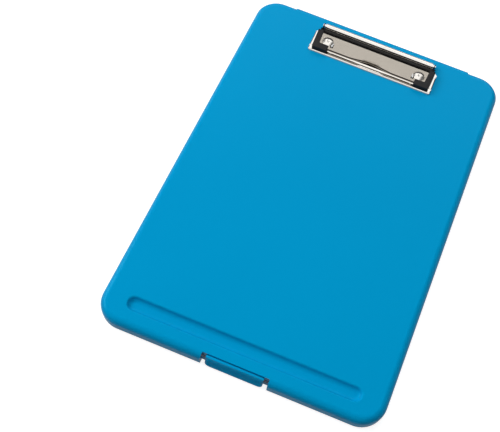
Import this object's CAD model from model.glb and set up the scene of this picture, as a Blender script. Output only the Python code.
# %% [markdown]
# # A slim storage case with a writing lid
#
# This lesson dresses a finished CAD model. The case is two moulded shells
# that hinge at the far edge, with a pressed metal paper clip on top and a
# small latch at the near edge. The CAD model fixes every size and joint.
# Blender adds the soft edges, the rolled sheet metal and the finishes.

# %% Load the CAD frame
import math

import bmesh
import bpy
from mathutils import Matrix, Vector


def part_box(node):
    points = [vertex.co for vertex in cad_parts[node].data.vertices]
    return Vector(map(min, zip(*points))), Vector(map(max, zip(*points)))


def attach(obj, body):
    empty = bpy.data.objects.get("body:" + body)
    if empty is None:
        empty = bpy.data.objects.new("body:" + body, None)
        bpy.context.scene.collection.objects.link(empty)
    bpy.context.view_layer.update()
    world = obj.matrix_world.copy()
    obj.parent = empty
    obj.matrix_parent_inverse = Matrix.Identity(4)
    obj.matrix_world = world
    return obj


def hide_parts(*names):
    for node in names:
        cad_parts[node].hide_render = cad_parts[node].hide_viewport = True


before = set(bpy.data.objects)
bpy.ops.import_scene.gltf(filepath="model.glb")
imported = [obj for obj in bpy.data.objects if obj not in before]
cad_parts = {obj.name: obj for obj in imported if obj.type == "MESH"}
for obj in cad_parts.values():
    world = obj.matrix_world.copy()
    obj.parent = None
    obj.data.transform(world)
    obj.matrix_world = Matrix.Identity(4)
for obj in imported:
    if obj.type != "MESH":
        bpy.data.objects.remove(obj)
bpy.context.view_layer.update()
MM = 0.001
print("nodes:", ", ".join(sorted(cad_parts)))

# %% [markdown]
# ## Sizes that come from the frame
#
# A piece that replaces a CAD node has to sit exactly where the node sits.
# Each box is read in millimetres, because the pieces are all small and
# whole millimetres are easier to think in than metres.

# %% Read the boxes of the nodes
def node_box(name):
    """Lowest and highest corner of a CAD node, in millimetres."""
    low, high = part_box(name)
    return low / MM, high / MM


lid_high = node_box("lid")[1]
plate_low, plate_high = node_box("clip_base_plate")
lever_low = node_box("clip_lever")[0]
cap_low, cap_high = node_box("grip_cap_right")
latch_low, latch_high = node_box("latch")
pin_low, pin_high = node_box("latch_pin")
rod_low, rod_high = node_box("clip_hinge_rod")

LID_TOP = lid_high.z
CLIP_ROD_Y = (rod_low.y + rod_high.y) / 2
CLIP_ROD_Z = (rod_low.z + rod_high.z) / 2
CLIP_ROD_R = (rod_high.z - rod_low.z) / 2
print("lid top at", round(LID_TOP, 2), "mm")
print("clip rod at", round(CLIP_ROD_Y, 2), round(CLIP_ROD_Z, 2))

# %% [markdown]
# ## The camera
#
# The picture is taken from above the front edge, a little to the right,
# with the case turned on the table. The camera is placed by its real
# position over the case and by three turns. The small shifts slide the
# frame sideways without changing the perspective.

# %% Place the camera
CAMERA_PLACE = Vector((64.66, -401.85, 682.82)) * MM
CAMERA_TURN = (27.3049, -6.1661, 21.2632)
CAMERA_LENS = 65.4
CAMERA_SHIFT = (-0.1009, 0.0481)

camera_data = bpy.data.cameras.new("camera")
camera_data.lens = CAMERA_LENS
camera_data.sensor_width = 36
camera_data.shift_x, camera_data.shift_y = CAMERA_SHIFT
camera = bpy.data.objects.new("camera", camera_data)
camera.location = CAMERA_PLACE
camera.rotation_euler = [math.radians(a) for a in CAMERA_TURN]
bpy.context.scene.collection.objects.link(camera)
bpy.context.scene.camera = camera
print("camera at", [round(v, 3) for v in camera.location], "m")

# %% [markdown]
# ## Small tools for meshes
#
# Every piece is a mesh that is worked out in millimetres and stored in
# metres. Modifiers such as Solidify and Bevel then give the sheet its
# thickness and the edges their softness, as pressing and moulding do.

# %% Mesh helpers
def add_mesh(name, points, faces, smooth=True):
    """A new object from points in millimetres."""
    mesh = bpy.data.meshes.new(name)
    mesh.from_pydata([Vector(p) * MM for p in points], [], faces)
    mesh.validate()
    mesh.polygons.foreach_set("use_smooth", [smooth] * len(mesh.polygons))
    piece = bpy.data.objects.new(name, mesh)
    bpy.context.scene.collection.objects.link(piece)
    return piece


def tidy_normals(piece, merge_mm=0.001):
    """Merges doubles and turns every face outwards."""
    shape = bmesh.new()
    shape.from_mesh(piece.data)
    bmesh.ops.remove_doubles(shape, verts=shape.verts, dist=merge_mm * MM)
    bmesh.ops.recalc_face_normals(shape, faces=shape.faces)
    shape.to_mesh(piece.data)
    shape.free()


def bevel(piece, width_mm, segments=3, angle=35):
    """Rounds the edges that are sharper than the angle."""
    mod = piece.modifiers.new("soft edges", "BEVEL")
    mod.width = width_mm * MM
    mod.segments = segments
    mod.limit_method = "ANGLE"
    mod.angle_limit = math.radians(angle)


def apply_modifiers(piece):
    """Turns the evaluated shape into the object's own plain mesh."""
    depsgraph = bpy.context.evaluated_depsgraph_get()
    mesh = bpy.data.meshes.new_from_object(piece.evaluated_get(depsgraph))
    piece.modifiers.clear()
    piece.data = mesh
    return piece


def smooth_by_angle(piece, angle=32):
    """Keeps edges sharper than the angle crisp and smooths the rest."""
    mesh = piece.data
    mesh.polygons.foreach_set("use_smooth", [True] * len(mesh.polygons))
    shape = bmesh.new()
    shape.from_mesh(mesh)
    for edge in shape.edges:
        edge.smooth = len(edge.link_faces) == 2 and edge.calc_face_angle(0) < math.radians(angle)
    shape.to_mesh(mesh)
    shape.free()


def join(name, pieces):
    """One object in place of several."""
    shape = bmesh.new()
    for piece in pieces:
        shape.from_mesh(piece.data)
        bpy.data.objects.remove(piece)
    mesh = bpy.data.meshes.new(name)
    shape.to_mesh(mesh)
    shape.free()
    whole = bpy.data.objects.new(name, mesh)
    bpy.context.scene.collection.objects.link(whole)
    return whole


def extrude_outline(name, outline, low, high, along="z"):
    """A prism over a closed outline, along one axis."""
    turns = {
        "x": lambda a, b, c: (c, a, b),
        "y": lambda a, b, c: (a, c, b),
        "z": lambda a, b, c: (a, b, c),
    }
    turn = turns[along]
    count = len(outline)
    points = [turn(a, b, low) for a, b in outline] + [turn(a, b, high) for a, b in outline]
    sides = [(i, (i + 1) % count, count + (i + 1) % count, count + i) for i in range(count)]
    faces = [tuple(reversed(range(count))), tuple(range(count, 2 * count))] + sides
    piece = add_mesh(name, points, faces)
    tidy_normals(piece)
    return piece


def arc(centre_a, centre_b, radius, start, end, steps):
    """Points along an arc, in degrees."""
    turns = [math.radians(start + (end - start) * i / steps) for i in range(steps + 1)]
    return [(centre_a + radius * math.cos(t), centre_b + radius * math.sin(t)) for t in turns]


# %% [markdown]
# ## Finishes
#
# A finish is a small network of nodes. Each one starts from the colour of
# the real material and adds what a flat colour lacks: a fine grain that
# roughens the gloss, and a slow change of tone over the whole piece. The
# patterns are laid out on Object coordinates, so they hold still when the
# pieces move.

# %% Node helpers
def new_material(name):
    """A new material, its node tree and its main shader."""
    material = bpy.data.materials.new(name)
    material.use_nodes = True
    tree = material.node_tree
    shader = tree.nodes["Principled BSDF"]
    return material, tree, shader


def pattern(tree, scale, detail=3.0, stretch=(1, 1, 1)):
    """Noise on Object coordinates, stretched along chosen axes."""
    place = tree.nodes.new("ShaderNodeTexCoord")
    mapping = tree.nodes.new("ShaderNodeMapping")
    mapping.inputs["Scale"].default_value = stretch
    noise = tree.nodes.new("ShaderNodeTexNoise")
    noise.inputs["Scale"].default_value = scale
    noise.inputs["Detail"].default_value = detail
    tree.links.new(place.outputs["Object"], mapping.inputs["Vector"])
    tree.links.new(mapping.outputs["Vector"], noise.inputs["Vector"])
    return noise.outputs["Fac"]


def spread(tree, value, low, high):
    """Maps noise, which lies mostly from 0.3 to 0.7, onto a range."""
    node = tree.nodes.new("ShaderNodeMapRange")
    node.inputs["From Min"].default_value = 0.3
    node.inputs["From Max"].default_value = 0.7
    node.inputs["To Min"].default_value = low
    node.inputs["To Max"].default_value = high
    tree.links.new(value, node.inputs["Value"])
    return node.outputs["Result"]


def bump(tree, shader, height, strength, depth_mm):
    """Fine relief from a noise value."""
    node = tree.nodes.new("ShaderNodeBump")
    node.inputs["Strength"].default_value = strength
    node.inputs["Distance"].default_value = depth_mm * MM
    tree.links.new(height, node.inputs["Height"])
    tree.links.new(node.outputs["Normal"], shader.inputs["Normal"])


def calculate(tree, kind, operation, *values, result="Value"):
    """A Math or VectorMath node over sockets and constants."""
    node = tree.nodes.new("ShaderNode" + kind)
    node.operation = operation
    for place, value in enumerate(values):
        if isinstance(value, bpy.types.NodeSocket):
            tree.links.new(value, node.inputs[place])
        else:
            node.inputs[place].default_value = value
    return node.outputs[result]


def two_tones(tree, shader, value, first, second):
    """A base colour between two tones."""
    mix = tree.nodes.new("ShaderNodeMix")
    mix.data_type = "RGBA"
    mix.inputs["A"].default_value = (*first, 1)
    mix.inputs["B"].default_value = (*second, 1)
    tree.links.new(value, mix.inputs["Factor"])
    tree.links.new(mix.outputs["Result"], shader.inputs["Base Color"])


# %% The blue moulded plastic
def make_case_plastic():
    """Moulded plastic with a weak, cool sheen and a fine grain."""
    material, tree, shader = new_material("case_plastic")
    shader.inputs["Specular IOR Level"].default_value = 0.15
    shader.inputs["Specular Tint"].default_value = (0, 0.8, 1, 1)
    slow = spread(tree, pattern(tree, 6, 2), 0, 1)
    two_tones(tree, shader, slow, (0.0, 0.290, 0.585), (0.0, 0.300, 0.600))
    fine = pattern(tree, 2600, 2)
    tree.links.new(spread(tree, fine, 0.14, 0.20), shader.inputs["Roughness"])
    bump(tree, shader, fine, 0.08, 0.015)
    return material


# %% The plated sheet metal
def tint(tree, shader, share, tone):
    """Mixes a tone into the base colour that is there already."""
    link = shader.inputs["Base Color"].links[0]
    mix = tree.nodes.new("ShaderNodeMix")
    mix.data_type = "RGBA"
    mix.inputs["B"].default_value = (*tone, 1)
    tree.links.new(share, mix.inputs["Factor"])
    tree.links.new(link.from_socket, mix.inputs["A"])
    tree.links.new(mix.outputs["Result"], shader.inputs["Base Color"])


def within(tree, distance, reach_mm, soft_mm):
    """1 where a distance is under the reach, and 0 beyond it."""
    edge = tree.nodes.new("ShaderNodeMapRange")
    edge.inputs["From Min"].default_value = (reach_mm + soft_mm) * MM
    edge.inputs["From Max"].default_value = (reach_mm - soft_mm) * MM
    tree.links.new(distance, edge.inputs["Value"])
    return edge.outputs["Result"]


def darken_between(tree, shader, tone, *spans):
    """A much darker tone where a place lies within every span, each along one axis."""
    coords = tree.nodes.new("ShaderNodeTexCoord")
    split = tree.nodes.new("ShaderNodeSeparateXYZ")
    tree.links.new(coords.outputs["Object"], split.inputs["Vector"])
    share = 1
    for axis, first, last in spans:
        offset = calculate(tree, "Math", "SUBTRACT", split.outputs[axis], (first + last) / 2 * MM)
        distance = calculate(tree, "Math", "ABSOLUTE", offset)
        share = calculate(tree, "Math", "MULTIPLY", share,
                          within(tree, distance, (last - first) / 2, soft_mm=0.1))
    tint(tree, shader, share, tone)


def polish_spots(tree, shader, place_x, place_y, reach, tone, soft=0.3):
    """A lighter tone on two round spots, one on each side."""
    coords = tree.nodes.new("ShaderNodeTexCoord")
    one_side = calculate(tree, "VectorMath", "ABSOLUTE", coords.outputs["Object"], result="Vector")
    flat = calculate(tree, "VectorMath", "MULTIPLY", one_side, (1, 1, 0), result="Vector")
    away = calculate(tree, "VectorMath", "DISTANCE", flat, (place_x * MM, place_y * MM, 0))
    tint(tree, shader, within(tree, away, reach - soft, soft), tone)


def make_nickel(name, dark, light, gloss_low, gloss_high):
    """Plated sheet, brushed along X."""
    material, tree, shader = new_material(name)
    shader.inputs["Metallic"].default_value = 1
    brushed = pattern(tree, 700, 2, (0.06, 1, 1))
    slow = spread(tree, pattern(tree, 60, 2), 0, 1)
    two_tones(tree, shader, slow, dark, light)
    tree.links.new(spread(tree, brushed, gloss_low, gloss_high), shader.inputs["Roughness"])
    bump(tree, shader, brushed, 0.01, 0.004)
    return material


# %% The rods, wire and rivets
def make_steel(name, dark, light):
    """Steel drawn along X."""
    material, tree, shader = new_material(name)
    shader.inputs["Metallic"].default_value = 1
    drawn = pattern(tree, 900, 3, (0.05, 1, 1))
    two_tones(tree, shader, spread(tree, drawn, 0, 1), dark, light)
    tree.links.new(spread(tree, drawn, 0.14, 0.24), shader.inputs["Roughness"])
    return material


# %% The black rubber
def make_rubber():
    """Dull black rubber with a fine relief."""
    material, tree, shader = new_material("grip_rubber")
    shader.inputs["Specular IOR Level"].default_value = 0.25
    fine = pattern(tree, 1800, 3)
    two_tones(tree, shader, spread(tree, fine, 0, 1), (0.006, 0.006, 0.007), (0.010, 0.009, 0.011))
    tree.links.new(spread(tree, fine, 0.45, 0.6), shader.inputs["Roughness"])
    bump(tree, shader, fine, 0.2, 0.03)
    return material


# %% Make the finishes
# The lever's back slope and the bend of its lip have a near-black tone,
# and its two domes are polished lighter than the sheet.
NEAR_BLACK = (0.006, 0.006, 0.007)
POLISHED = (0.60, 0.575, 0.54)
BACK_SLOPE = ("Y", CLIP_ROD_Y - 10.6, CLIP_ROD_Y + 10)
LIP_BEND = ("Z", LID_TOP + 3.45, LID_TOP + 4.8)
LIP_BAND = ("Y", lever_low.y - 1, lever_low.y + 3.4)

case_plastic = make_case_plastic()
satin_nickel = make_nickel("satin_nickel", (0.295, 0.268, 0.233), (0.313, 0.285, 0.248), 0.22, 0.25)
satin_shader = satin_nickel.node_tree.nodes["Principled BSDF"]
darken_between(satin_nickel.node_tree, satin_shader, NEAR_BLACK, BACK_SLOPE)
darken_between(satin_nickel.node_tree, satin_shader, NEAR_BLACK, LIP_BEND, LIP_BAND)
bright_nickel = make_nickel("bright_nickel", (0.62, 0.59, 0.55), (0.66, 0.63, 0.59), 0.08, 0.12)
bright_steel = make_steel("bright_steel", (0.6, 0.6, 0.61), (0.7, 0.7, 0.7))
pin_steel = make_steel("pin_steel", (0.030, 0.036, 0.050), (0.045, 0.052, 0.070))
grip_rubber = make_rubber()
print("finishes:", [m.name for m in bpy.data.materials])

# %% [markdown]
# ## The clip's base plate
#
# The plate is one pressed sheet. Its front edge is raised into a ridge that
# presses on the paper, a second ridge stiffens it, its sides turn up a
# little, and its back rolls up into a tube that holds the lever's rod. A
# sheet is easiest to make as a grid: each row is one place along the
# section, each column one place across. Solidify then gives it thickness.

# %% Section of the base plate
SHEET = 0.8
PLATE_HALF = plate_high.x
PLATE_FRONT = plate_low.y
PLATE_TOP = LID_TOP + SHEET
PLATE_CORNER = 2.0  # radius of the front corners
BEAD_HALF = PLATE_HALF - 5.7
CURL_R = CLIP_ROD_R + 0.1
CURL_HALF = BEAD_HALF - 1.2
CURL_END = 205  # how far round the rod the sheet rolls, in degrees
EAR_FRONT = CLIP_ROD_Y - 2.5
RIDGES = ((1.0, 1.0, 1.0), (5.8, 0.85, 0.9))  # distance back, height, half width
RIDGE_FOOT = 1.3  # how far a ridge's foot runs out, in half widths
FRONT_DROP = 1.6  # how fast the front ridge falls off towards the paper
FINE_ROW = 0.125  # distance between rows over the ridges
FINE_ROWS, WIDE_ROWS, CURL_ROWS = 64, 26, 40


def hump(t):
    """A smooth bump, 1 at 0 and 0 from 1 on."""
    return 0.5 + 0.5 * math.cos(math.pi * min(1, abs(t)))


def plate_height(y):
    """Height of the sheet's upper face: flat, with two ridges."""
    z = PLATE_TOP
    for back, height, half in RIDGES:
        if y < PLATE_FRONT + back and back == RIDGES[0][0]:
            z += height * (1 - ((PLATE_FRONT + back - y) / back) ** 2 * FRONT_DROP)
        else:
            z += height * hump((y - PLATE_FRONT - back) / half / RIDGE_FOOT)
    return z


def plate_half_width(y):
    """Half width: round at the front corners, and cut at 45 degrees before the bead."""
    if y < PLATE_FRONT + PLATE_CORNER:
        step = PLATE_FRONT + PLATE_CORNER - y
        return PLATE_HALF - PLATE_CORNER + math.sqrt(PLATE_CORNER ** 2 - step ** 2)
    return min(PLATE_HALF, max(BEAD_HALF, BEAD_HALF + EAR_FRONT - y))


def plate_rows():
    """Rows of the sheet's upper face: place, height and half width."""
    ys = [PLATE_FRONT + FINE_ROW * i for i in range(FINE_ROWS)]
    rest = EAR_FRONT - 0.01 - ys[-1]
    ys += [ys[-1] + rest * (i + 1) / WIDE_ROWS for i in range(WIDE_ROWS)]
    rows = [(y, plate_height(y), plate_half_width(y)) for y in ys]
    curl = arc(CLIP_ROD_Y, CLIP_ROD_Z, CURL_R, -90, CURL_END, CURL_ROWS)
    return rows + [(y, z, CURL_HALF) for y, z in curl]


# %% Build the base plate
SIDE_TURN = 0.25  # how far the sides turn up
SIDE_BAND = 0.7  # over what width they do
SIDE_END = EAR_FRONT - 5  # where the turned-up sides stop
WIDE_COLUMNS = 60
EDGE_COLUMN, EDGE_COLUMNS = 0.0045, 6  # share of the half width, and how many


def grid_faces(rows, columns, skip=lambda r, c: False):
    """Four-sided faces over rows of points, with some left out."""
    return [(r * columns + c, r * columns + c + 1, (r + 1) * columns + c + 1, (r + 1) * columns + c)
            for r in range(rows - 1) for c in range(columns - 1) if not skip(r, c)]


def side_lift(x, z):
    """How far the sheet's side turns up, less what a ridge gives it."""
    past = abs(x) - PLATE_HALF + SIDE_BAND
    if past <= 0:
        return 0
    return max(0, SIDE_TURN * (1 - hump(past / SIDE_BAND)) - max(0, z - PLATE_TOP))


def make_base_plate():
    """The base plate's sheet with its thickness."""
    inner = [-1 + 2 * i / WIDE_COLUMNS for i in range(WIDE_COLUMNS + 1)]
    edge = [1 - EDGE_COLUMN * (i + 1) for i in range(EDGE_COLUMNS)]
    columns = sorted(set(inner + edge + [-u for u in edge]))
    rows = plate_rows()
    points = []
    for y, z, half in rows:
        for u in columns:
            x = u * half
            points.append((x, y, z + side_lift(x, z) if y < SIDE_END else z))
    plate = add_mesh("clip_plate_sheet", points, grid_faces(len(rows), len(columns)))
    mod = plate.modifiers.new("sheet", "SOLIDIFY")
    mod.thickness = (SHEET - 0.02) * MM
    mod.offset = -1
    mod.use_even_offset = True
    apply_modifiers(plate)
    return plate


base_plate = make_base_plate()
print("base plate faces:", len(base_plate.data.polygons))

# %% [markdown]
# ## The lever
#
# The lever is a second sheet. Its front edge turns down in a lip and is
# scooped out for a finger, its back slopes down to the rod, and a low dome
# is pressed up near each end with a slot beside it for the spring's hook.
# It is the same kind of grid, with the domes added to its height.

# %% Sizes of the lever
LEVER_TOP = LID_TOP + 5
LEVER_FRONT = lever_low.y
WAVE_HALF, WAVE_DEPTH = 23, 2.6  # the scoop for a finger
LIP_HALF, LIP_DROP, LIP_BEND_R = 41.9, 2.6, 0.7
BEND_Y = CLIP_ROD_Y - 11.4  # where the back slope starts
BEND_REACH = 0.5  # how far the bend's rounding reaches from it
LEVER_BACK = CLIP_ROD_Y - 2.8
BACK_DROP = 3.0
LEVER_HALF_FRONT = 56.8
LEVER_HALF_BACK = 58.0  # half width at the bend
LEVER_END = 56.0  # and at the end of the slope
SPREAD_FROM = 50  # from where outwards the sides spread
LIP_ROWS, BEND_ROWS, FRONT_ROWS, SLOT_ROWS, FLAT_ROWS, BACK_ROWS = 3, 6, 8, 8, 28, 6
LEVER_COLUMNS, SLOT_COLUMNS, SLOT_COLUMN = 110, 31, 0.325
COLUMN_GAP = 0.3  # how near another column may come to the slot's
EAR_R, EAR_GAP = 2.2, 0.3  # radius round the rod, and gap to the bead
EAR_HALF, EAR_TOP, EAR_LOW = 1, LEVER_TOP - 0.4, LEVER_TOP - 2.4  # under the bend
DOME_X, DOME_Y, DOME_R, DOME_H = 45.2, CLIP_ROD_Y - 19.2, 5.2, 1.3
DOME_POWER = 0.8  # 1 for a parabola, 0.5 for a ball
DIMPLE_R, DIMPLE_H = 1.5, 0.6
SLOT_X, SLOT_Y, SLOT_HALF_X, SLOT_HALF_Y = 40.0, DOME_Y - 4, 1.3, 1.5


def wave(x):
    """How far the front edge is scooped back at x."""
    return WAVE_DEPTH * hump(x / WAVE_HALF) if abs(x) < WAVE_HALF else 0


def dome(x, y):
    """Height of the pressed dome and its dimple."""
    r = math.hypot(abs(x) - DOME_X, y - DOME_Y)
    if r > DOME_R:
        return 0
    return DOME_H * (1 - (r / DOME_R) ** 2) ** DOME_POWER - DIMPLE_H * hump(r / DIMPLE_R)


# %% Build the lever
def lever_columns():
    """Places across, closer together at the slots and domes."""
    width = 2 * LEVER_HALF_FRONT
    xs = [width * i / LEVER_COLUMNS - LEVER_HALF_FRONT for i in range(LEVER_COLUMNS + 1)]
    fine = [SLOT_X - SLOT_HALF_X + SLOT_COLUMN * i for i in range(SLOT_COLUMNS)]
    xs = [x for x in xs if not fine[0] - COLUMN_GAP < abs(x) < fine[-1] + COLUMN_GAP]
    return sorted(xs + fine + [-x for x in fine])


def steps_between(start, end, count):
    """Even steps from one place to another, without the first."""
    return [start + (end - start) * i / count for i in range(1, count + 1)]


def lever_rows(x):
    """Section of the sheet's upper face at one place across."""
    front = LEVER_FRONT + wave(x)
    drop = LIP_DROP if abs(x) < LIP_HALF else LIP_BEND_R
    lip = [(front, LEVER_TOP - drop + (drop - LIP_BEND_R) * i / LIP_ROWS) for i in range(LIP_ROWS)]
    lip += arc(front + LIP_BEND_R, LEVER_TOP - LIP_BEND_R, LIP_BEND_R, 180, 90, BEND_ROWS)
    slot_low, slot_high = SLOT_Y - SLOT_HALF_Y, SLOT_Y + SLOT_HALF_Y
    flat_end = BEND_Y - BEND_REACH
    flat = steps_between(front + LIP_BEND_R, slot_low, FRONT_ROWS)
    flat += steps_between(slot_low, slot_high, SLOT_ROWS)
    flat += steps_between(slot_high, flat_end, FLAT_ROWS)
    slope = math.atan2(BACK_DROP, LEVER_BACK - BEND_Y)
    bend_r = BEND_REACH / math.tan(slope / 2)
    bend = arc(flat_end, LEVER_TOP - bend_r, bend_r, 90, 90 - math.degrees(slope), BEND_ROWS)[1:]
    last_y, last_z = bend[-1]
    back = zip(steps_between(last_y, LEVER_BACK, BACK_ROWS),
               steps_between(last_z, LEVER_TOP - BACK_DROP, BACK_ROWS))
    return lip + [(y, LEVER_TOP) for y in flat] + bend + list(back)


def side_spread(x, y):
    """How far the sheet spreads sideways at a place, as its ends aren't quite parallel."""
    most = LEVER_HALF_BACK - LEVER_HALF_FRONT
    if y > BEND_Y:
        grow = most - (LEVER_HALF_BACK - LEVER_END) * (y - BEND_Y) / (LEVER_BACK - BEND_Y)
    else:
        grow = (y - LEVER_FRONT) / (BEND_Y - LEVER_FRONT) * most
    return math.copysign(grow * max(0, abs(x) - SPREAD_FROM) / (LEVER_HALF_FRONT - SPREAD_FROM), x)


def make_lever_sheet():
    """The lever's sheet with its thickness, its domes and its slots."""
    xs = lever_columns()
    sections = [lever_rows(x) for x in xs]
    rows = len(sections[0])
    points = []
    for r in range(rows):
        for x, section in zip(xs, sections):
            y, z = section[r]
            points.append((x + side_spread(x, y), y, z + dome(x, y)))

    def in_slot(r, c):
        x = (xs[c] + xs[c + 1]) / 2
        y = (sections[c][r][0] + sections[c][r + 1][0]) / 2
        return abs(abs(x) - SLOT_X) < SLOT_HALF_X and abs(y - SLOT_Y) < SLOT_HALF_Y

    sheet = add_mesh("lever_sheet", points, grid_faces(rows, len(xs), in_slot))
    mod = sheet.modifiers.new("sheet", "SOLIDIFY")
    mod.thickness = SHEET * MM
    mod.offset = -1
    apply_modifiers(sheet)
    return sheet


def make_lever_ear(side):
    """The flange at the lever's end that turns on the rod."""
    ear_in = BEAD_HALF + EAR_GAP
    ring = arc(CLIP_ROD_Y, CLIP_ROD_Z, EAR_R, -160, 75, 20)
    outline = ring + [(BEND_Y + EAR_HALF, EAR_TOP), (BEND_Y - EAR_HALF, EAR_TOP),
                      (BEND_Y - EAR_HALF, EAR_LOW)]
    ear = extrude_outline("ear", outline, side * ear_in, side * (ear_in + SHEET), "x")
    bevel(ear, 0.15, 2)
    apply_modifiers(ear)
    return ear


lever = join("clip_lever_sheet", [make_lever_sheet(), make_lever_ear(-1), make_lever_ear(1)])
smooth_by_angle(lever)
smooth_by_angle(base_plate)
polish_spots(satin_nickel.node_tree, satin_shader, DOME_X, DOME_Y, DOME_R, POLISHED)
print("lever faces:", len(lever.data.polygons))

# %% [markdown]
# ## The rubber caps
#
# A cap is moulded over each front corner of the lever, with one leg along
# the front and one along the side. It is a plain prism over an L-shaped
# outline, and a wide bevel gives it the roundness of moulded rubber.

# %% Build the caps
CAP_TOP = cap_high.z
CAP_BOTTOM = cap_low.z
CAP_UPPER_LOW, CAP_LOWER_TOP = LID_TOP + 2.1, LID_TOP + 3  # its two parts overlap
CAP_STEP = 0.5  # how far the lower part's front stands back
CAP_SIDE = LEVER_HALF_FRONT + 0.8
CAP_TIP = CAP_SIDE - 14.7
CAP_FRONT = LEVER_FRONT - 3
CAP_LEG_BACK = DOME_Y - 4.3
CAP_BACK = CAP_FRONT + 22
CAP_LEG_W = 6.4  # width of the leg along the side
CAP_END_W = 4.6  # and at its back end
CAP_CORNER_R, CAP_INNER_R = 1.6, 1.0


def cap_outline(side, front):
    """The cap's L seen from above."""
    corner = arc(CAP_SIDE - CAP_CORNER_R, front + CAP_CORNER_R, CAP_CORNER_R, -90, 0, 5)
    inner = arc(CAP_SIDE - CAP_LEG_W, CAP_LEG_BACK + CAP_INNER_R, CAP_INNER_R, 270, 360, 4)
    outline = [(CAP_TIP, front)] + corner
    outline += [(LEVER_HALF_BACK + 0.5, CAP_BACK), (CAP_SIDE - CAP_END_W, CAP_BACK)]
    outline += list(reversed(inner)) + [(CAP_TIP, CAP_LEG_BACK)]
    return [(side * x, y) for x, y in outline]


def make_cap(side, name):
    """A rounded upper part over a slightly smaller lower one."""
    upper = extrude_outline("upper", cap_outline(side, CAP_FRONT), CAP_UPPER_LOW, CAP_TOP)
    lower = extrude_outline("lower", cap_outline(side, CAP_FRONT + CAP_STEP),
                            CAP_BOTTOM, CAP_LOWER_TOP)
    bevel(upper, 0.75, 4, 40)
    bevel(lower, 0.3, 2, 40)
    cap = join(name, [apply_modifiers(upper), apply_modifiers(lower)])
    smooth_by_angle(cap, 40)
    return cap


cap_left = make_cap(-1, "cap_left")
cap_right = make_cap(1, "cap_right")
print("cap faces:", len(cap_right.data.polygons))

# %% [markdown]
# ## The spring wire
#
# The wire follows a path, which is just what Curve to Mesh in Geometry
# Nodes is for: the path is a curve, the wire's thickness is a named input,
# and the tree sweeps a circle along it.

# %% A node tree that draws a wire along a curve
def new_tree(name, *sockets):
    """A Geometry Nodes tree with its named inputs and one output."""
    tree = bpy.data.node_groups.new(name, "GeometryNodeTree")
    for label, kind in sockets:
        tree.interface.new_socket(label, in_out="INPUT", socket_type="NodeSocket" + kind)
    tree.interface.new_socket("Geometry", in_out="OUTPUT", socket_type="NodeSocketGeometry")
    return tree, tree.nodes.new("NodeGroupInput"), tree.nodes.new("NodeGroupOutput")


def set_input(modifier, tree, name, value):
    """Sets one of a modifier's inputs by the name it has in the tree."""
    for item in tree.interface.items_tree:
        if item.item_type == "SOCKET" and item.in_out == "INPUT" and item.name == name:
            modifier[item.identifier] = value


def wire_tree(material):
    """Sweeps a round wire along a curve."""
    tree, group_in, group_out = new_tree(
        "wire_along_path", ("Geometry", "Geometry"), ("Wire radius", "Float"), ("Sides", "Int"))
    nodes, links = tree.nodes, tree.links
    circle = nodes.new("GeometryNodeCurvePrimitiveCircle")
    sweep = nodes.new("GeometryNodeCurveToMesh")
    sweep.inputs["Fill Caps"].default_value = True
    smooth = nodes.new("GeometryNodeSetShadeSmooth")
    realize = nodes.new("GeometryNodeRealizeInstances")
    paint = nodes.new("GeometryNodeSetMaterial")
    paint.inputs["Material"].default_value = material
    links.new(group_in.outputs["Wire radius"], circle.inputs["Radius"])
    links.new(group_in.outputs["Sides"], circle.inputs["Resolution"])
    links.new(group_in.outputs["Geometry"], sweep.inputs["Curve"])
    links.new(circle.outputs["Curve"], sweep.inputs["Profile Curve"])
    links.new(sweep.outputs["Mesh"], smooth.inputs["Geometry"])
    links.new(smooth.outputs["Geometry"], realize.inputs["Geometry"])
    links.new(realize.outputs["Geometry"], paint.inputs["Geometry"])
    links.new(paint.outputs["Geometry"], group_out.inputs["Geometry"])
    return tree


def wire(name, route, radius, material):
    """A wire of one radius along a route in millimetres."""
    curve = bpy.data.curves.new(name + "_path", "CURVE")
    curve.dimensions = "3D"
    spline = curve.splines.new("POLY")
    spline.points.add(len(route) - 1)
    for point, place in zip(spline.points, route):
        point.co = (*(Vector(place) * MM), 1)
    path = bpy.data.objects.new(name + "_path", curve)
    bpy.context.scene.collection.objects.link(path)
    tree = wire_tree(material)
    mod = path.modifiers.new("wire", "NODES")
    mod.node_group = tree
    set_input(mod, tree, "Wire radius", radius * MM)
    set_input(mod, tree, "Sides", 12)
    depsgraph = bpy.context.evaluated_depsgraph_get()
    mesh = bpy.data.meshes.new_from_object(path.evaluated_get(depsgraph))
    bpy.data.objects.remove(path)
    piece = bpy.data.objects.new(name, mesh)
    bpy.context.scene.collection.objects.link(piece)
    return piece


def rounded_route(corners, radius, steps=6):
    """Replaces each inner corner of a route by a round bend."""
    corners = [Vector(c) for c in corners]
    route = [corners[0]]
    for before, corner, after in zip(corners, corners[1:], corners[2:]):
        reach = min(radius, (corner - before).length * 0.45, (after - corner).length * 0.45)
        start = corner + (before - corner).normalized() * reach
        end = corner + (after - corner).normalized() * reach
        for i in range(steps + 1):
            t = i / steps
            route.append(start * (1 - t) ** 2 + corner * 2 * t * (1 - t) + end * t ** 2)
    return route + [corners[-1]]


# %% The spring's route
WIRE_R = 0.7
WIRE_BEND = 1.4  # radius of its bends
WIRE_Y = CLIP_ROD_Y - 12
WIRE_Z = PLATE_TOP + WIRE_R + 0.1
OVER_Z = LEVER_TOP + WIRE_R + 0.05


def spring_half(side):
    """Corners from the wire's straight middle, up through the slot and over the lever."""
    return [(side * (SLOT_X - 3), WIRE_Y, WIRE_Z), (side * SLOT_X, SLOT_Y, WIRE_Z + 0.6),
            (side * SLOT_X, SLOT_Y, OVER_Z), (side * (SLOT_X - 0.6), SLOT_Y + 3.2, OVER_Z)]


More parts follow.
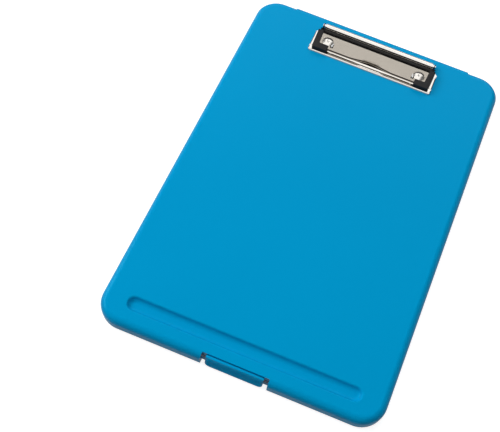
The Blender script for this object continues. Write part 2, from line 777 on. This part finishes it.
spring_corners = list(reversed(spring_half(-1))) + spring_half(1)
spring = wire("spring_wire", rounded_route(spring_corners, WIRE_BEND), WIRE_R, bright_steel)
print("spring wire faces:", len(spring.data.polygons))

# %% [markdown]
# ## The latch
#
# The latch is a ridged flap that hangs from a pin. The ridges repeat at an
# even pitch down its face, so a node tree makes them: it lays points on a
# line and puts a rounded bar on each.

# %% Sizes of the latch
LATCH_HALF = latch_high.x
LATCH_LOW = latch_low.z
LATCH_CORNER = 4.2  # radius of the flap's lower corners
PIVOT_Y, PIVOT_Z = (pin_low.y + pin_high.y) / 2, (pin_low.z + pin_high.z) / 2
KNUCKLE_R = 1.85
FACE_TURN = 122  # where the flap's outer face leaves the knuckle, in degrees
FLAP_T = 1.8
FLAP_TOP_OUT = -KNUCKLE_R * math.cos(math.radians(FACE_TURN))
FLAP_TOP = PIVOT_Z + KNUCKLE_R * math.sin(math.radians(FACE_TURN))
FLAP_LOW_OUT = 2.7
HOOK_TIP, HOOK_TOP, HOOK_T = 1.4, 4.7, 0.9  # reach, top, and thickness at the tip
RIDGE_COUNT, RIDGE_R = 5, 0.65
RIDGE_SUNK = 0.1  # how far a ridge's centre lies inside the face
RIDGE_SHORT = 1.2  # how far a ridge ends from the flap's side
print("latch turns about", round(PIVOT_Y, 2), round(PIVOT_Z, 2))


def flap_face(z):
    """Where the flap's outer face lies at a height."""
    down = (FLAP_TOP - z) / (FLAP_TOP - LATCH_LOW)
    return PIVOT_Y - FLAP_TOP_OUT - (FLAP_LOW_OUT - FLAP_TOP_OUT) * down


# %% The flap and its hook
def make_flap():
    """The latch's section drawn out along X, cut to its rounded front view."""
    neck = PIVOT_Z - KNUCKLE_R
    section = arc(PIVOT_Y, PIVOT_Z, KNUCKLE_R, -40, FACE_TURN, 24)
    section += [(flap_face(LATCH_LOW), LATCH_LOW), (flap_face(LATCH_LOW) + FLAP_T, LATCH_LOW),
                (PIVOT_Y + HOOK_TIP, HOOK_TOP - HOOK_T), (PIVOT_Y + HOOK_TIP, HOOK_TOP),
                (flap_face(HOOK_TOP) + FLAP_T, HOOK_TOP), (flap_face(neck) + FLAP_T, neck)]
    flap = extrude_outline("latch_flap", section, -LATCH_HALF, LATCH_HALF, "x")
    side = LATCH_HALF - LATCH_CORNER
    front = arc(-side, LATCH_LOW + LATCH_CORNER, LATCH_CORNER, 180, 270, 10)
    front += arc(side, LATCH_LOW + LATCH_CORNER, LATCH_CORNER, 270, 360, 10)
    front += [(LATCH_HALF, LID_TOP), (-LATCH_HALF, LID_TOP)]
    cutter = extrude_outline("flap_outline", front, PIVOT_Y - 5, PIVOT_Y + 5, "y")
    cut = flap.modifiers.new("round corners", "BOOLEAN")
    cut.operation, cut.solver, cut.object = "INTERSECT", "EXACT", cutter
    bevel(flap, 0.3, 3, 40)
    apply_modifiers(flap)
    bpy.data.objects.remove(cutter)
    return flap


# %% A node tree for the ridges
def ridge_tree(material):
    """Rounded bars along a line, joined to the piece."""
    tree, group_in, group_out = new_tree(
        "rounded_bars", ("Geometry", "Geometry"), ("Bars", "Int"), ("First bar", "Vector"),
        ("Step", "Vector"), ("Half bar", "Vector"), ("Bar radius", "Float"))
    nodes, links = tree.nodes, tree.links
    line = nodes.new("GeometryNodeMeshLine")
    flip = nodes.new("ShaderNodeVectorMath")
    flip.operation = "SCALE"
    flip.inputs["Scale"].default_value = -1
    path = nodes.new("GeometryNodeCurvePrimitiveLine")
    round_face = nodes.new("GeometryNodeCurvePrimitiveCircle")
    round_face.inputs["Resolution"].default_value = 16
    sweep = nodes.new("GeometryNodeCurveToMesh")
    sweep.inputs["Fill Caps"].default_value = True
    place = nodes.new("GeometryNodeInstanceOnPoints")
    realize = nodes.new("GeometryNodeRealizeInstances")
    both = nodes.new("GeometryNodeJoinGeometry")
    paint = nodes.new("GeometryNodeSetMaterial")
    paint.inputs["Material"].default_value = material
    links.new(group_in.outputs["Bars"], line.inputs["Count"])
    links.new(group_in.outputs["First bar"], line.inputs["Start Location"])
    links.new(group_in.outputs["Step"], line.inputs["Offset"])
    links.new(group_in.outputs["Half bar"], flip.inputs[0])
    links.new(flip.outputs["Vector"], path.inputs["Start"])
    links.new(group_in.outputs["Half bar"], path.inputs["End"])
    links.new(group_in.outputs["Bar radius"], round_face.inputs["Radius"])
    links.new(path.outputs["Curve"], sweep.inputs["Curve"])
    links.new(round_face.outputs["Curve"], sweep.inputs["Profile Curve"])
    links.new(line.outputs["Mesh"], place.inputs["Points"])
    links.new(sweep.outputs["Mesh"], place.inputs["Instance"])
    links.new(group_in.outputs["Geometry"], both.inputs["Geometry"])
    links.new(place.outputs["Instances"], both.inputs["Geometry"])
    links.new(both.outputs["Geometry"], realize.inputs["Geometry"])
    links.new(realize.outputs["Geometry"], paint.inputs["Geometry"])
    links.new(paint.outputs["Geometry"], group_out.inputs["Geometry"])
    return tree


def make_latch():
    """The flap with its ridges."""
    flap = make_flap()
    pitch = (FLAP_TOP - LATCH_LOW) / (RIDGE_COUNT + 1)
    first_z, last_z = FLAP_TOP - pitch, FLAP_TOP - pitch * RIDGE_COUNT
    step = Vector((0, flap_face(last_z) - flap_face(first_z), last_z - first_z)) / (RIDGE_COUNT - 1)
    tree = ridge_tree(case_plastic)
    mod = flap.modifiers.new("ridges", "NODES")
    mod.node_group = tree
    set_input(mod, tree, "Bars", RIDGE_COUNT)
    set_input(mod, tree, "First bar", Vector((0, flap_face(first_z) + RIDGE_SUNK, first_z)) * MM)
    set_input(mod, tree, "Step", step * MM)
    set_input(mod, tree, "Half bar", Vector((LATCH_HALF - RIDGE_SHORT, 0, 0)) * MM)
    set_input(mod, tree, "Bar radius", RIDGE_R * MM)
    apply_modifiers(flap)
    smooth_by_angle(flap, 40)
    return flap


latch = make_latch()
print("latch faces:", len(latch.data.polygons))

# %% Lay the finishes on the CAD nodes
BRIGHT_NODES = ("hinge_rod", "clip_hinge_rod", "rivet_left", "rivet_right",
                "washer_left", "washer_right")
CAD_FINISH = {node: bright_steel for node in BRIGHT_NODES}
CAD_FINISH |= {"tray": case_plastic, "lid": case_plastic, "latch_pin": pin_steel}
for node, material in CAD_FINISH.items():
    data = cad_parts[node].data
    data.materials.clear()
    data.materials.append(material)


def finish(piece, material, body, slot, *nodes):
    """Paints a piece and says what it moves with and which nodes it stands for."""
    piece.data.materials.clear()
    piece.data.materials.append(material)
    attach(piece, body)
    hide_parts(*nodes)


finish(base_plate, bright_nickel, "lid", "plated_steel", "clip_base_plate")
finish(lever, satin_nickel, "clip_lever", "plated_steel", "clip_lever")
finish(cap_left, grip_rubber, "clip_lever", "grip_rubber", "grip_cap_left")
finish(cap_right, grip_rubber, "clip_lever", "grip_rubber", "grip_cap_right")
finish(spring, bright_steel, "lid", "bright_steel", "clip_spring")
finish(latch, case_plastic, "latch", "case_plastic", "latch")

# %% [markdown]
# ## The table and the light
#
# The case lies on a white table in soft light. A table that is only lit
# comes out grey, and more light would spoil the colours of the case. So
# the table and the wall are grey, and also glow. Where the camera sees
# them the glow makes them white, and they still take a shadow. Reflections
# see a weaker glow. From below the table is clear, but the underside of the
# case is nearly black there, because little light gets between the two.

# %% Table and wall
def stage_material(name, albedo, glow, glossy_glow):
    """Matt, with a glow for the camera and a weaker one for reflections, and clear from behind."""
    material, tree, shader = new_material(name)
    tree.nodes.remove(shader)
    diffuse = tree.nodes.new("ShaderNodeBsdfDiffuse")
    diffuse.inputs["Color"].default_value = (albedo, albedo, albedo, 1)
    glowing = tree.nodes.new("ShaderNodeEmission")
    clear = tree.nodes.new("ShaderNodeBsdfTransparent")
    path = tree.nodes.new("ShaderNodeLightPath")
    side = tree.nodes.new("ShaderNodeNewGeometry")
    seen = calculate(tree, "Math", "MAXIMUM",
                     path.outputs["Is Camera Ray"], path.outputs["Is Transmission Ray"])
    mirrored = calculate(tree, "Math", "MULTIPLY", path.outputs["Is Glossy Ray"], glossy_glow)
    strength = calculate(tree, "Math", "MULTIPLY_ADD", seen, glow, mirrored)
    lit = tree.nodes.new("ShaderNodeAddShader")
    one_sided = tree.nodes.new("ShaderNodeMixShader")
    tree.links.new(strength, glowing.inputs["Strength"])
    tree.links.new(diffuse.outputs["BSDF"], lit.inputs[0])
    tree.links.new(glowing.outputs["Emission"], lit.inputs[1])
    tree.links.new(side.outputs["Backfacing"], one_sided.inputs["Fac"])
    tree.links.new(lit.outputs["Shader"], one_sided.inputs[1])
    tree.links.new(clear.outputs["BSDF"], one_sided.inputs[2])
    tree.links.new(one_sided.outputs["Shader"], tree.nodes["Material Output"].inputs["Surface"])
    return material


def add_floor():
    """A table just under the case."""
    reach, level = 6000, -0.1
    corners = [(-reach, -reach, level), (reach, -reach, level),
               (reach, reach, level), (-reach, reach, level)]
    floor = add_mesh("floor", corners, [(0, 1, 2, 3)], smooth=False)
    white = stage_material("white_table", albedo=0.4, glow=0.85, glossy_glow=0.35)
    floor.data.materials.append(white)


def add_wall():
    """A round wall, open at the top."""
    radius, height, count = 3000, 1500, 96
    turns = [2 * math.pi * i / count for i in range(count)]
    ring = [(radius * math.cos(t), radius * math.sin(t)) for t in turns]
    points = [(x, y, 0) for x, y in ring] + [(x, y, height) for x, y in ring]
    faces = [(i, count + i, count + (i + 1) % count, (i + 1) % count) for i in range(count)]
    wall = add_mesh("backdrop", points, faces)
    white = stage_material("white_backdrop", albedo=0.6, glow=0.85, glossy_glow=0.6)
    wall.data.materials.append(white)


add_floor()
add_wall()

# %% [markdown]
# ## Lamps and cards
#
# Three large soft lamps light the case. The metal of the clip shows what
# it mirrors, so two cards that only reflections see are set round it, as a
# photographer would: a black one low behind it and a white one in front.

# %% Lamps
def softbox(name, place, aim, width, height, radiance):
    """An area lamp with the brightness that its face shows, placed in metres."""
    lamp = bpy.data.lights.new(name, "AREA")
    lamp.shape = "RECTANGLE"
    lamp.size, lamp.size_y = width, height
    lamp.energy = radiance * math.pi * width * height
    holder = bpy.data.objects.new(name, lamp)
    holder.location = place
    holder.rotation_euler = (Vector(aim) - Vector(place)).to_track_quat("-Z", "Y").to_euler()
    bpy.context.scene.collection.objects.link(holder)


softbox("top_softbox", place=(-0.35, 0.7, 2.0), aim=(-0.35, 0.7, 0),
        width=2.0, height=2.6, radiance=1.45)
softbox("back_softbox", place=(-0.2, 2.3, 1.65), aim=(0, 0, 0),
        width=2.4, height=0.8, radiance=2.0)
softbox("left_softbox", place=(-1.7, 0.0, 1.2), aim=(0, 0, 0),
        width=1.4, height=1.0, radiance=5.6)

# %% Cards
def add_card(name, half_width, low_edge, high_edge, brightness):
    """A card across X between two edges, each given as its place along Y and Z."""
    corners = [(-half_width, *low_edge), (half_width, *low_edge),
               (half_width, *high_edge), (-half_width, *high_edge)]
    card = add_mesh(name, corners, [(0, 1, 2, 3)], smooth=False)
    material, _, shader = new_material(name)
    shader.inputs["Base Color"].default_value = (0, 0, 0, 1)
    shader.inputs["Specular IOR Level"].default_value = 0
    shader.inputs["Emission Color"].default_value = (1, 1, 1, 1)
    shader.inputs["Emission Strength"].default_value = brightness
    card.data.materials.append(material)
    card.visible_camera = card.visible_diffuse = card.visible_shadow = False


add_card("black_card", 1400, low_edge=(1500, 0), high_edge=(1500, 800), brightness=0)
add_card("white_card", 1200, low_edge=(-1500, 500), high_edge=(-900, 2200), brightness=1.6)

# %% World
WORLD_LIGHT = 0.2  # how much it lights, while the camera sees it white


def make_world():
    """White for the camera, and a weak light for everything else."""
    world = bpy.data.worlds.new("studio")
    world.use_nodes = True
    tree = world.node_tree
    background = tree.nodes["Background"]
    background.inputs["Color"].default_value = (1, 1, 1, 1)
    path = tree.nodes.new("ShaderNodeLightPath")
    strength = calculate(tree, "Math", "MAXIMUM", path.outputs["Is Camera Ray"], WORLD_LIGHT)
    tree.links.new(strength, background.inputs["Strength"])
    bpy.context.scene.world = world


make_world()
bpy.context.scene.view_settings.view_transform = "Standard"
print("lamps:", [lamp.name for lamp in bpy.data.lights])
